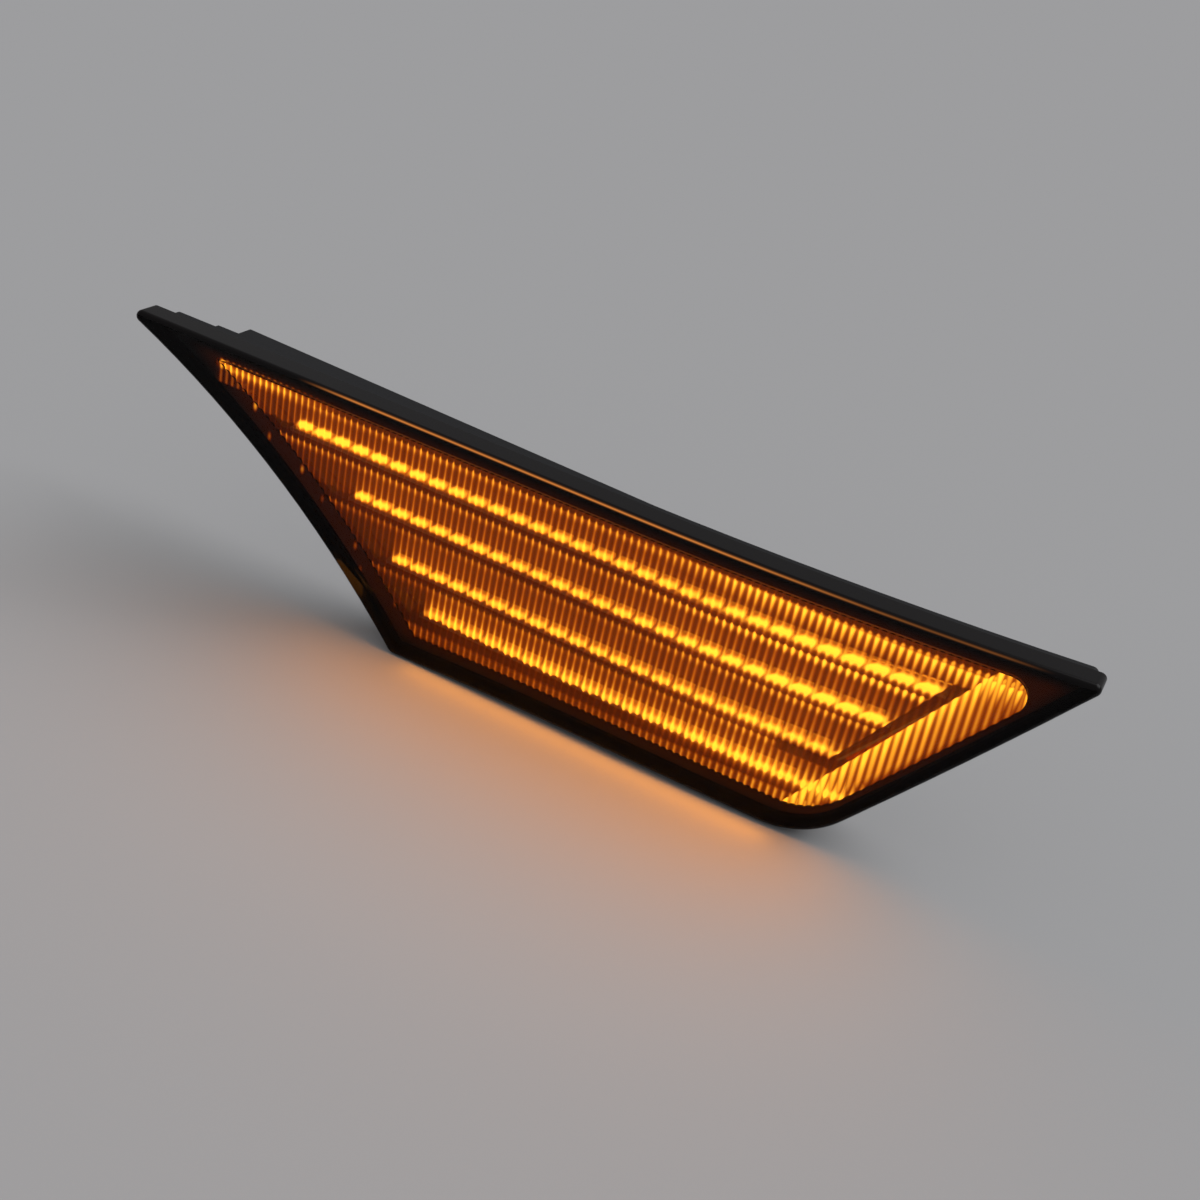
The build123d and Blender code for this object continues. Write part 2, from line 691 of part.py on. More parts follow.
def make_pieces():
    """All pieces of the lamp by name."""
    pieces = {
        "outer_lens": make_outer_lens(),
        "lens_seal": make_lens_seal(),
        "bezel": make_bezel(),
        "housing": make_housing(),
        "reflector": make_reflector(),
        "led_strip_end": make_led_strip_end(),
        "leds_end": make_leds_end(),
        "driver_board": make_driver_board(),
        "controller_chip": make_controller_chip(),
        "resistors": make_resistors(),
        "rectifier_diodes": make_rectifier_diodes(),
        "smoothing_capacitor": make_smoothing_capacitor(),
        "supply_pins": make_supply_pins(),
        "board_screws": make_board_screws(),
        "bus_wires": make_bus_wires(),
        "wire_gland": make_wire_gland(),
    }
    for row in range(ROW_COUNT):
        pieces[f"led_strip_{row + 1}"] = make_led_strip(row)
        pieces[f"leds_row_{row + 1}"] = make_leds(row)
    return pieces


def main():
    """Write one STEP file for each piece."""
    os.makedirs("parts", exist_ok=True)
    for name, piece in make_pieces().items():
        export_step(piece, f"parts/{name}.step")


if __name__ == "__main__":
    main()
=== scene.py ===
import math

import bpy
from mathutils import Matrix, Vector


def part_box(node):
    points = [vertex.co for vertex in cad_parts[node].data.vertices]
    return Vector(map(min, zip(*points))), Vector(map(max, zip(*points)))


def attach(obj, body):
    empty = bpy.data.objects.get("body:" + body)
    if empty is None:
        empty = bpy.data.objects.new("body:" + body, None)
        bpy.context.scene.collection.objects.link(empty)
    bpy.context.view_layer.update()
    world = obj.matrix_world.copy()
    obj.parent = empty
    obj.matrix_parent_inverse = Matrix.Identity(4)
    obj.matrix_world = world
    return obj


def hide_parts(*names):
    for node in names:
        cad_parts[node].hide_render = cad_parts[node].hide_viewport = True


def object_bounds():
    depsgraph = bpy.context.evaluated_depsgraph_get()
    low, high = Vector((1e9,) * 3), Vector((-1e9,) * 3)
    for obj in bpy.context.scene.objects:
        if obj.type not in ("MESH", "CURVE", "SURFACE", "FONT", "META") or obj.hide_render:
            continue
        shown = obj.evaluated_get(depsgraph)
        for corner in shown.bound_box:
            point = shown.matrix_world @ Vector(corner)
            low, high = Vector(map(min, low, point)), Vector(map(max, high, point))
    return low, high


bl_info = {
    "name": "Side repeater lamp",
    "version": (1, 0, 0),
    "blender": (4, 5, 0),
    "location": "View3D > Sidebar > Lamp",
    "description": "Dresses the solids of a lit side repeater lamp and sets its studio",
    "category": "Object",
}

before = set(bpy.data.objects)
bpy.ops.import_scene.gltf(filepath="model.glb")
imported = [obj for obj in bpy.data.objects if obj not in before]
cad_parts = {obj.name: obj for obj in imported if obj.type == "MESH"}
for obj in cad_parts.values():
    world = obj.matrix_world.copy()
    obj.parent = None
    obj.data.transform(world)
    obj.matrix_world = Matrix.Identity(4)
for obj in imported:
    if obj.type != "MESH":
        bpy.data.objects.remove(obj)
CAD_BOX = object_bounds()
MM = 0.001
ROWS = ("1", "2", "3", "4")

# Smooth copies, and the sorting of the lens's faces into front wall, flutes and edge
MERGE_DISTANCE = 0.005 * MM
SMOOTH_ANGLE = math.radians(30)
LOOKS_BACK = 0.3
FACE_SLACK = 0.05 * MM
FLUTE_FOOT = 0.02 * MM
FLUTE_TIP = 0.6 * MM

# Grain of the moulded and plated surfaces, haze of the lens and traces of the board
GRAIN_DEPTH = 0.04 * MM
GRAIN_STRENGTH = 0.4
GRAIN_ROUGHNESS = 0.25
LENS_HAZE_SCALE = 250
LENS_ROUGHNESS = 0.07
LENS_HAZE_ROUGHNESS = 0.06
LED_GRAIN_SCALE = 900
LED_LEAST = 0.5
TRACE_PITCH = 1.9
TRACE_HALF_WIDTH = 0.22
TRACE_SOFTNESS = 0.08
TRACE_METAL = 0.6

# Steps of the reflector in millimetres, and the levels of the light painted on them from the top down to the
# LEDs
STEP_EDGE = 0.1
STEP_DROP = 0.7
STEP_SOFTNESS = 0.3
STEP_LEVELS = (0.12, 0.6)

# Painted glint along the lens's top edge, the LEDs' light reflected inside its rounded edge, in millimetres;
# each pair goes from dark to bright
EDGE_DROP = 0.45
EDGE_WIDTH = 0.15
EDGE_LEFT = (-74, -58)
EDGE_RIGHT = (80, 68)
EDGE_FADE = (60, 8)
EDGE_FADE_LEVEL = 0.25
EDGE_DEPTH = (3.2, 2.2)

# Light painted on the flutes, in millimetres across and up the lens; each pair goes from dark to bright
GLOW_STRENGTH = 6.0
HUE_LEVELS = (0.05, 0.9)
FLUTE_SHARPNESS = 1.8
FLUTE_LEAST = 0.12
UNSHIFTED_X = 88.0
RIGHT_HALF = (0, 40)
CLOUD_SCALE = 70
VARIATION = 0.3
LEFT_EDGE_X = -66.7
LEFT_DIM_FADE = (0, 18)
LEFT_DIM_FADE_LEVEL = 0.35

# One row's line of LEDs as painted on the flutes
BLOB_LEAN = 0.7
BLOB_LEAST = 0.06
LAST_LED_INSET = 1.7
GAP_WIDTH = 0.8
GAP_SAG = 0.3
LINE_HEIGHT = 0.75
LINE_STROKES = 0.55
LINE_START = (-1.5, 0.5)
LINE_LEFT_FADE = 55
LINE_RIGHT_FADE = (45, 8)

# One row's painted strokes of light above the LEDs, and the painted teeth of light that hang below them
HEAD_DROP = 0.7
HEAD_HEIGHT = 0.8
FOOT_LENGTH = 1.5
BODY_LEVEL = 0.24
STROKE_TOP = (0.25, -0.35)
STROKE_ROUNDING = 0.6
STROKE_CUT = (-0.75, -0.15)
CUT_WAVE = 0.5
FAINT_LEFT = (-26, -14)
FAINT_LEVEL = 0.15
TEETH_DROP = 0.5
TEETH_LENGTH = 0.8
TEETH_TOP = (0.6, 0.0)
TEETH_STROKES = 0.25
TEETH_LEVEL = 1.5
ROW_TOP_DROP = 1.2
SHELF_LAP = 0.2

# Painted light of the apron below the lowest row
APRON_RISE = 0.2
APRON_DROP = 0.6
APRON_SOFTNESS = 1.2
APRON_LEFT = (-46, -30)
APRON_LEVELS = (0.5, 0.34)
APRON_RIGHT_LEVEL = 0.4

# Painted light under the fold along the top of the right half, and on the ledge under it
CROWN_SLOPE = 0.02
CROWN_DROP = 1.6
CROWN_LENGTH = 1.5
CROWN_TOP = (-0.9, -0.2)
CROWN_LEFT = (-10, 40)
CROWN_LEVEL = 3.6
LEDGE_SLOPE = 0.045
LEDGE_Z = 13.45
LEDGE_HEIGHT = 0.22
LEDGE_LEFT = (38, 46)
LEDGE_LEVEL = 0.6

# Rib at the right end and its foot, painted dark, and the strip of light painted beyond it
RIB_FOOT = (50.4, -6.5)
RIB_SIDE = (0.4, -0.4)
RIB_ABOVE = (16.8, 17.6)
RIB_BELOW = (-9.0, -9.8)
RIB_WIDTH = (-2.0, 1.1)
RIB_WIDTH_SOFTNESS = 0.3
RIB_HEIGHT = (-9.2, 17.0)
FOOT_HEIGHT = (-9.6, -6.8)
RIB_HEIGHT_SOFTNESS = 0.6
FOOT_WIDTH = (36, 51)
FOOT_WIDTH_SOFTNESS = 3
END_START = (0.8, 1.3)
END_STOP = (10.0, 7.2)
END_STOP_LEAN = 0.15
END_SHARPNESS = 1.3
END_LEAST = 0.16
END_HEAD = 1.2
END_HEAD_LENGTH = 2.0
END_HEAD_LEVEL = 3.2
END_LEVEL = 0.55

# Light painted at the left tip of the window
TIP_HEAD_DROP = 1.4
TIP_HEAD_HEIGHT = 0.9
TIP_HEADS = (-62, -84)
TIP_HEAD_LEVEL = 3.0
TIP_BODY_HEIGHT = (-5.6, 0.2)
TIP_BODY_SOFTNESS = 0.6
TIP_BODY = (-80, -88)
TIP_BODY_LEVEL = 0.45
TIP_END = (-96.0, -94.4)
TIP_TOP = (0.3, -0.5)

# Light painted on the bezel past the window's edges
LEAK_BELOW = (-3.5, 0.5)
LEAK_ABOVE = (1.5, -1.0)
LEAK_LEFT = (-9, 0)
LEAK_RIGHT = (14, 9)
LEAK_LEVEL = 0.028

# Painted brightness of each row's LEDs on the flutes at its left end, middle and right end
ROW_LEDS = {"1": (6.0, 2.4, 7.0), "2": (3.6, 2.2, 6.0), "3": (2.6, 1.9, 2.0), "4": (0.8, 0.6, 2.0)}
# Painted brightness of each row's strokes: heads, more for the right-hand heads, lower ends, and left of the
# LEDs
ROW_STROKES = {
    "1": (1.00, 0.0, 1.1, 0.36),
    "2": (0.80, 1.9, 1.1, 0.14),
    "3": (0.40, 0.6, 1.5, 0.08),
    "4": (0.35, 0.4, 3.4, 0.06),
}
# Painted glints at the left ends of the rows, where light catches the reflector's ends: places across and up
# the lens in millimetres, and brightness
GLINTS = (
    (-85.3, 14.9, 1.5),
    (-81.2, 9.6, 0.5),
    (-72.4, 5.5, 0.8),
    (-66.8, 0.9, 0.25),
    (-57.6, -6.3, 0.4),
    (-55.7, -11.0, 0.2),
    (-46.4, -15.3, 0.3),
)
GLINT_WIDTH = 0.4
GLINT_HEIGHT = 0.8

# Lights and camera
KEY_PLACE = (0.5, 0.4, 0.8)
SPILL_GAP = 1 * MM
SPILL_TILT = math.radians(72)
EDGE_SPILL_TILT = math.radians(55)
EDGE_SPILL_HEIGHTS = (2 * MM, 5 * MM)
SENSOR_WIDTH = 36
NEAREST_SEEN = 5 * MM


def lowest(node, axis):
    """Lowest coordinate of a node along an axis."""
    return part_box(node)[0][axis]


def highest(node, axis):
    """Highest coordinate of a node along an axis."""
    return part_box(node)[1][axis]


# Shader sockets and materials
def feed(tree, socket, item):
    """Link a Value to a socket, or set a plain number, colour or vector on it."""
    if isinstance(item, Value):
        tree.links.new(item.socket, socket)
    else:
        socket.default_value = item


class Value:
    """A shader socket whose sums and products add Math nodes."""

    def __init__(self, tree, socket):
        self.tree = tree
        self.socket = socket

    def math(self, operation, *items):
        """One Math node on the items, in the order given."""
        node = self.tree.nodes.new("ShaderNodeMath")
        node.operation = operation
        for socket, item in zip(node.inputs, items):
            feed(self.tree, socket, item)
        return Value(self.tree, node.outputs[0])

    def __add__(self, other):
        return self.math("ADD", self, other)

    def __sub__(self, other):
        return self.math("SUBTRACT", self, other)

    def __rsub__(self, other):
        return self.math("SUBTRACT", other, self)

    def __mul__(self, other):
        return self.math("MULTIPLY", self, other)

    def __pow__(self, other):
        return self.math("POWER", self, other)

    def wave(self, length):
        """Smooth wave from 0 to 1 and back over a length, at 1 where the value is a multiple of it."""
        return self.math("COSINE", self * (2 * math.pi / length)) * 0.5 + 0.5

    def bell(self, width):
        """Bell curve that is 1 at 0 and falls away over a width."""
        return self.math("EXPONENT", self * self * (-1 / width**2))

    def decay(self, length):
        """Falls from 1 at 0 by a factor e over each length, and stays 1 below 0."""
        return self.math("EXPONENT", self.most(0.0) * (-1 / length))

    def wrap(self, length):
        """Distance from the nearest multiple of a length, from minus half to half of it."""
        return self.math("WRAP", self, length / 2, -length / 2)

    def most(self, other):
        """The larger of two values."""
        return self.math("MAXIMUM", self, other)

    def least(self, other):
        """The smaller of two values."""
        return self.math("MINIMUM", self, other)

    def from_level(self, level):
        """The range from 0 to 1 drawn in to run from a level to 1."""
        return self * (1 - level) + level

    def spread(self, share):
        """The range from 0 to 1 made to run about 1, a share below and above it."""
        return self * (2 * share) + (1 - share)


def brightest(levels):
    """The largest of several values."""
    first, *others = levels
    for other in others:
        first = first.most(other)
    return first


class Finish:
    """A material with one Principled shader and the nodes that feed it."""

    def __init__(self, name, specular=0.5, **constants):
        self.material = bpy.data.materials.new(name)
        self.material.use_nodes = True
        self.tree = self.material.node_tree
        self.shader = self.tree.nodes["Principled BSDF"]
        self.set("Specular IOR Level", specular)
        for socket, number in constants.items():
            self.set(socket.replace("_", " ").title(), number)

    def node(self, kind, settings, sockets, output=0):
        """Any node: its settings first, then the values or links of its sockets."""
        node = self.tree.nodes.new(kind)
        for name, setting in settings.items():
            setattr(node, name, setting)
        for name, item in sockets.items():
            feed(self.tree, node.inputs[name], item)
        return Value(self.tree, node.outputs[output])

    def place(self):
        """Object coordinates."""
        return self.node("ShaderNodeTexCoord", {}, {}, "Object")

    def millimetres(self):
        """Object coordinates as three numbers in millimetres."""
        scaled = self.tint(self.place(), 1 / MM)
        split = self.node("ShaderNodeSeparateXYZ", {}, {0: scaled})
        return [Value(self.tree, socket) for socket in split.socket.node.outputs]

    def ramp(self, value, start, end, low=0.0, high=1.0):
        """Smooth step from one level to another as a value goes from start to end."""
        limits = {"Value": value, "From Min": start, "From Max": end, "To Min": low, "To Max": high}
        return self.node("ShaderNodeMapRange", {"interpolation_type": "SMOOTHSTEP"}, limits)

    def between(self, value, low, high, soft):
        """Mask that is 1 between two limits, with soft edges inside them."""
        return self.ramp(value, low, low + soft) * self.ramp(value, high, high - soft)

    def noise(self, scale, detail=2.0):
        """Noise on Object coordinates, with its scale per metre."""
        sockets = {"Vector": self.place(), "Scale": scale, "Detail": detail}
        return self.node("ShaderNodeTexNoise", {}, sockets)

    def tint(self, colour, value):
        """A colour or vector scaled by a value."""
        plain = colour if isinstance(colour, Value) else tuple(colour)[:3]
        return self.node("ShaderNodeVectorMath", {"operation": "SCALE"}, {0: plain, "Scale": value})

    def blend(self, mask, first, second):
        """Mix of two colours by a mask."""
        return self.node("ShaderNodeMix", {"data_type": "RGBA"}, {0: mask, 6: first, 7: second}, 2)

    def bump(self, height, distance, strength):
        """Bump on the shader's Normal, from a height in units of a distance."""
        sockets = {"Height": height, "Distance": distance, "Strength": strength}
        self.set("Normal", self.node("ShaderNodeBump", {}, sockets))

    def set(self, socket, item):
        """Feed one input of the Principled shader."""
        feed(self.tree, self.shader.inputs[socket], item)


# Settings that a user may change
def colour_property(name, description, default):
    """A colour."""
    return bpy.props.FloatVectorProperty(
        name=name, description=description, default=default, size=4, min=0, max=1, subtype="COLOR"
    )


def number_property(name, description, default, low=0.0, high=100.0):
    """A plain number."""
    return bpy.props.FloatProperty(name=name, description=description, default=default, min=low, max=high)


def length_property(name, description, default):
    """A length in metres."""
    return bpy.props.FloatProperty(
        name=name, description=description, default=default, unit="LENGTH", precision=4
    )


def angle_property(name, description, degrees):
    """An angle."""
    return bpy.props.FloatProperty(
        name=name, description=description, default=math.radians(degrees), subtype="ANGLE"
    )


def vector_property(name, description, default, subtype):
    """A place or a direction."""
    return bpy.props.FloatVectorProperty(
        name=name, description=description, default=default, subtype=subtype
    )


class LampFinishes(bpy.types.PropertyGroup):
    """Colours of the lamp's surfaces."""

    lens: colour_property("Lens", "Tint of the smoked lens", (0.005, 0.004, 0.004, 1))
    lens_cover: number_property("Lens cover", "Share of light that the lens's wall holds back", 0.42, 0, 1)
    housing: colour_property("Housing", "Moulded plastic of the housing", (0.009, 0.009, 0.010, 1))
    bezel: colour_property("Bezel", "Mask round the window", (0.006, 0.005, 0.005, 1))
    reflector: colour_property("Reflector", "Lit plastic of the reflector", (0.16, 0.045, 0.005, 1))
    strip: colour_property("LED strip", "Solder mask of the LED strips", (0.62, 0.60, 0.55, 1))
    board: colour_property("Driver board", "Solder mask of the driver board", (0.015, 0.13, 0.05, 1))
    copper: colour_property("Traces", "Tinned traces on the driver board", (0.45, 0.36, 0.20, 1))
    component: colour_property("Components", "Moulded components", (0.02, 0.02, 0.02, 1))
    steel: colour_property("Steel", "Plated screws and tinned wires", (0.60, 0.60, 0.60, 1))
    brass: colour_property("Brass", "Supply pins", (0.70, 0.48, 0.18, 1))
    rubber: colour_property("Rubber", "Gland and seal", (0.018, 0.018, 0.018, 1))


class LampGlow(bpy.types.PropertyGroup):
    """Light of the lit lamp: its LEDs and spill lights, and the light painted on the flutes, bezel, reflector
    and lens edge.
    """

    amber: colour_property("Amber", "Hue of the lamp's light", (1.0, 0.33, 0.016, 1))
    ember: colour_property("Ember", "Hue of the lamp's dimmest light", (1.0, 0.115, 0.003, 1))
    spill: number_property("Spill", "Watts of light that the window throws on the floor", 0.032)
    edge_spill: number_property("Edge spill", "Watts of light along the lens's lower edge", 0.0026)
    # The line along the lens's top edge is a painted glint, the LEDs' light reflected inside the rounded edge
    edge_line: colour_property("Edge hue", "Hue of the line along the lens's top edge", (1.0, 0.32, 0.06, 1))
    edge: number_property("Edge line", "Brightness of the line along the lens's top edge", 0.6)
    led: number_property("LEDs", "Brightness of the LEDs in the rows", 2.9)
    end_led: number_property("End LEDs", "Brightness of the LEDs beyond the rib", 0.4)
    peak: number_property("Peak", "Brightness at which the flutes' light levels off", 2.4)
    dark: number_property("Dark level", "Brightness of the flutes between the rows", 0.085)
    # The reflector's light is painted on it as emission
    reflector: number_property("Reflector", "Brightness of the reflector", 0.2)
    flute_cover: number_property("Flute cover", "Share of what lies behind that the flutes hide", 0.82, 0, 1)
    lift: length_property("Lift", "Height that the LEDs gain on the flutes, seen from above", 1.35 * MM)
    slide: number_property("Slide", "Share by which the LEDs shift, seen from the right", 0.0141)
    row_slope: number_property("Row slope", "Fall of the rows towards the right", 0.010, -1, 1)
    end_lean: number_property("End lean", "Lean of the strokes at the right end", -0.04, -2, 2)
    end_pitch: length_property("End pitch", "Distance between strokes at the right end", 1.5 * MM)
    left_lean: number_property("Left lean", "Lean of the window's left edge", 1.25, -2, 2)
    rib_lean: number_property("Rib lean", "Lean of the rib at the right end", 0.68, -2, 2)
    flute_pitch: length_property("Flute pitch", "Distance between flutes", 1.5 * MM)
    led_pitch: length_property("LED pitch", "Distance between LEDs in a row", 4.65 * MM)
    lens_wall: length_property("Lens wall", "Thickness of the lens's front wall", 2.2 * MM)
    bend_radius: length_property("Bend radius", "Bend of the face towards the right end", 0.56)


class LampStage(bpy.types.PropertyGroup):
    """Floor, lights and camera."""

    floor: colour_property("Floor", "Plain pale floor", (0.40, 0.40, 0.41, 1))
    floor_size: length_property("Floor size", "Width of the floor", 60.0)
    key_strength: number_property("Key light", "Strength of the soft overhead light", 1.7)
    key_angle: angle_property("Key softness", "Angle that the overhead light fills", 50)
    ambient: number_property("Ambient", "Strength of the world's light", 0.42)
    lens_mm: number_property("Focal length", "Camera's focal length in millimetres", 45.0, 1, 500)
    camera_place: vector_property(
        "Camera place", "Where the camera stands", (0.08809, -0.24174, 0.14712), "TRANSLATION"
    )
    camera_ahead: vector_property(
        "View direction", "Where the camera looks", (-0.3178, 0.8065, -0.4985), "DIRECTION"
    )
    camera_roll: angle_property("Roll", "Turn of the camera about its view direction", 12.5)


def finishes():
    """Colours in use."""
    return bpy.context.scene.lamp_finishes


def glow():
    """Light in use."""
    return bpy.context.scene.lamp_glow


# Pieces
def wear(node, finish):
    """Give a CAD node one finish."""
    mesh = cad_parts[node].data
    mesh.materials.clear()
    mesh.materials.append(finish.material)


def smooth_copy(context, node, name):
    """Merged copy of a CAD node that takes its place, with its round faces shaded smooth."""
    bpy.ops.object.select_all(action="DESELECT")
    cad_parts[node].select_set(True)
    context.view_layer.objects.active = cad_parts[node]
    bpy.ops.object.duplicate()
    piece = context.active_object
    piece.name = name
    bpy.ops.mesh.customdata_custom_splitnormals_clear()
    bpy.ops.object.mode_set(mode="EDIT")
    bpy.ops.mesh.select_all(action="SELECT")
    bpy.ops.mesh.remove_doubles(threshold=MERGE_DISTANCE)
    bpy.ops.object.mode_set(mode="OBJECT")
    bpy.ops.object.shade_smooth_by_angle(angle=SMOOTH_ANGLE)
    bpy.ops.object.modifier_add(type="WEIGHTED_NORMAL")
    weighting = piece.modifiers[-1]
    weighting.keep_sharp = True
    bpy.ops.object.modifier_apply(modifier=weighting.name)
    piece.data.materials.clear()
    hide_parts(node)
    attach(piece, "root")
    return piece


def depth_behind_face(point, front, radius):
    """Depth of a point behind the lens's front face, which bends back from the middle to the right."""
    if point.x <= 0:
        return point.y - front
    return radius - math.hypot(point.x, front + radius - point.y)


# Finishes of the lens
def smoked_lens():
    """Polished smoke-tinted plastic of the lens's front wall."""
    look = finishes()
    finish = Finish("smoked_lens", specular=0.15, alpha=look.lens_cover)
    finish.set("Base Color", look.lens)
    finish.set("Roughness", finish.noise(LENS_HAZE_SCALE) * LENS_HAZE_ROUGHNESS + LENS_ROUGHNESS)
    return finish


def lens_edge_painted_glint():
    """The same plastic seen edge-on, where it is black, with a painted glint along the top edge: the LEDs'
    light reflected inside the rounded edge, painted as emission.
    """
    finish = Finish("lens_edge_painted_glint", specular=0.1, roughness=0.25, emission_strength=1.0)
    finish.set("Base Color", finishes().lens)
    x, y, z = finish.millimetres()
    # Painted glint: a thin line of emission along the top edge, standing in for the LEDs' light reflected
    # inside it
    line = (z - (highest("outer_lens", 2) / MM - EDGE_DROP)).bell(EDGE_WIDTH)
    line *= finish.ramp(x, *EDGE_LEFT) * finish.ramp(x, *EDGE_RIGHT)
    line *= finish.ramp(x, *EDGE_FADE, EDGE_FADE_LEVEL, 1.0)
    bend = x.most(0.0) ** 2 * (MM / (2 * glow().bend_radius))
    line *= finish.ramp(y - lowest("outer_lens", 1) / MM - bend, *EDGE_DEPTH)
    finish.set("Emission Color", finish.tint(glow().edge_line, line * glow().edge))
    return finish


def row_heights(row):
    """Heights of a row's LEDs and shelf, in millimetres."""
    led = (lowest(f"leds_row_{row}", 2) + highest(f"leds_row_{row}", 2)) / 2
    shelf = lowest(f"led_strip_{row}", 2)
    return led / MM, shelf / MM


def row_ends(row):
    """Left and right ends of a row's LEDs, in millimetres."""
    return lowest(f"leds_row_{row}", 0) / MM, highest(f"leds_row_{row}", 0) / MM


def window_heights():
    """Lower and upper edges of the window, in millimetres."""
    return lowest("reflector", 2) / MM, highest("reflector", 2) / MM


def rib_distance(x, z):
    """Distance across the lens past the middle of the rib."""
    return x - (z - RIB_FOOT[1]) * glow().rib_lean - RIB_FOOT[0]


def left_distance(x, z):
    """Distance across the lens from the left edge of the window."""
    return x + z * glow().left_lean - LEFT_EDGE_X


def flute_strokes(x):
    """Light and dark of the flutes across the lens."""
    return (x.wave(glow().flute_pitch / MM) ** FLUTE_SHARPNESS).from_level(FLUTE_LEAST)


def led_line(finish, x, above, gap, stroke, row):
    """Line of separate LEDs painted on the flutes, whose brightness changes from left to right."""
    start, end = row_ends(row)
    left, middle, right = ROW_LEDS[row]
    fade, full = LINE_RIGHT_FADE
    strength = finish.ramp(x, start, start + LINE_LEFT_FADE, left, middle)
    strength += finish.ramp(x, end - fade, end - full, 0.0, right - middle)
    blob = (1 - gap).from_level(BLOB_LEAST)
    return (above + gap * GAP_SAG).bell(LINE_HEIGHT) * strength * blob * stroke.from_level(LINE_STROKES)


def row_light(finish, x, z, row, top, stroke):
    """Light of one row painted on the flutes: strokes that brighten downwards to a line of LEDs."""
    light = glow()
    start, end = row_ends(row)
    head, head_right, foot, side = ROW_STROKES[row]
    pitch = light.led_pitch / MM
    above = z + x * light.row_slope - (row_heights(row)[0] + light.lift / MM)
    seen = x * (1 + light.slide) - light.slide * UNSHIFTED_X
    gap = (seen - above * BLOB_LEAN - (end - LAST_LED_INSET - pitch / 2)).wrap(pitch).bell(GAP_WIDTH)
    lit = finish.ramp(seen, start + LINE_START[0], start + LINE_START[1])
    to_right = finish.ramp(x, *RIGHT_HALF)
    hanging = ((above + TEETH_DROP) * -1).decay(TEETH_LENGTH) * finish.ramp(above, *TEETH_TOP)
    teeth = hanging * stroke.from_level(TEETH_STROKES) * lit * to_right * TEETH_LEVEL
    heads = (z - (top - HEAD_DROP)).bell(HEAD_HEIGHT) * (to_right * head_right + head)
    heads *= finish.ramp(x, start + FAINT_LEFT[0], start + FAINT_LEFT[1], FAINT_LEVEL, 1.0)
    body = (above.decay(FOOT_LENGTH) * foot + (BODY_LEVEL - side)) * lit + side
    cut = finish.ramp(above + (1 - gap) * CUT_WAVE, *STROKE_CUT)
    edge = finish.ramp(z + (1 - stroke) * STROKE_ROUNDING, top + STROKE_TOP[0], top + STROKE_TOP[1])
    strokes = (body + heads) * stroke * cut * edge
    return strokes.most(teeth) + led_line(finish, x, above, gap, stroke, row) * lit


def apron_light(finish, x, z, top, stroke):
    """Painted strokes of light below the lowest row."""
    level = finish.ramp(x, *APRON_LEFT, *APRON_LEVELS) + finish.ramp(x, *RIGHT_HALF, 0.0, APRON_RIGHT_LEVEL)
    low = window_heights()[0]
    return finish.between(z, low + APRON_RISE, top - APRON_DROP, APRON_SOFTNESS) * stroke * level


def crown_light(finish, x, z, stroke):
    """Painted bright heads of light under the fold along the top of the right half."""
    under = (window_heights()[1] - CROWN_DROP) - (x * CROWN_SLOPE + z)
    heads = under.decay(CROWN_LENGTH) * finish.ramp(under, *CROWN_TOP)
    return heads * finish.ramp(x, *CROWN_LEFT) * CROWN_LEVEL * stroke


def ledge_light(finish, x, z, past_rib):
    """Painted thin bright line of light beside the top of the rib."""
    line = (z - x * LEDGE_SLOPE - LEDGE_Z).bell(LEDGE_HEIGHT)
    return line * finish.ramp(x, *LEDGE_LEFT) * finish.ramp(past_rib, *RIB_SIDE) * LEDGE_LEVEL


def rib_shade(finish, x, z, past_rib):
    """Mask of the rib and its foot, which stay dark as painted shade in the flutes' light."""
    rib = finish.between(past_rib, *RIB_WIDTH, RIB_WIDTH_SOFTNESS)
    rib *= finish.between(z, *RIB_HEIGHT, RIB_HEIGHT_SOFTNESS)
    foot = finish.between(x, *FOOT_WIDTH, FOOT_WIDTH_SOFTNESS)
    foot *= finish.between(z, *FOOT_HEIGHT, RIB_HEIGHT_SOFTNESS)
    return rib.most(foot)


def end_light(finish, x, z, past_rib):
    """Light painted on the strip beyond the rib: strokes that hang from the rib."""
    light = glow()
    phase = x - z * light.end_lean
    pitch = light.end_pitch / MM
    leaning = (phase.wave(pitch) ** END_SHARPNESS).from_level(END_LEAST)
    every_second = phase.wave(2 * pitch).spread(VARIATION)
    fall = (past_rib - END_HEAD).decay(END_HEAD_LENGTH) * END_HEAD_LEVEL * every_second + END_LEVEL
    strip = finish.ramp(past_rib, *END_START) * finish.ramp(past_rib - z * END_STOP_LEAN, *END_STOP)
    return strip * fall * leaning


def tip_light(finish, x, z, stroke):
    """Painted strokes of light with bright heads at the left tip of the window."""
    high = window_heights()[1]
    heads = (z - (high - TIP_HEAD_DROP)).bell(TIP_HEAD_HEIGHT) * finish.ramp(x, *TIP_HEADS) * TIP_HEAD_LEVEL
    bottom, top = TIP_BODY_HEIGHT
    body = finish.between(z, high + bottom, high + top, TIP_BODY_SOFTNESS)
    body *= finish.ramp(x, *TIP_BODY) * TIP_BODY_LEVEL
    inside = finish.ramp(x, *TIP_END) * finish.ramp(z, high + TIP_TOP[0], high + TIP_TOP[1])
    return heads.most(body) * stroke * inside


def glints(x, z):
    """Painted glints at the left ends of the rows, where light catches the reflector's ends."""
    return brightest(
        (x - place_x).bell(GLINT_WIDTH) * (z - place_z).bell(GLINT_HEIGHT) * strength
        for place_x, place_z, strength in GLINTS
    )


def shine(finish, level, cover):
    """Emission that shows a level through the lens, redder where it is dim."""
    light = glow()
    share = 1 / (GLOW_STRENGTH * cover * (1 - finishes().lens_cover))
    hue = finish.blend(finish.ramp(level, *HUE_LEVELS), light.ember, light.amber)
    finish.set("Emission Color", finish.tint(hue, level.least(light.peak) * share))
    finish.material.cycles.emission_sampling = "NONE"


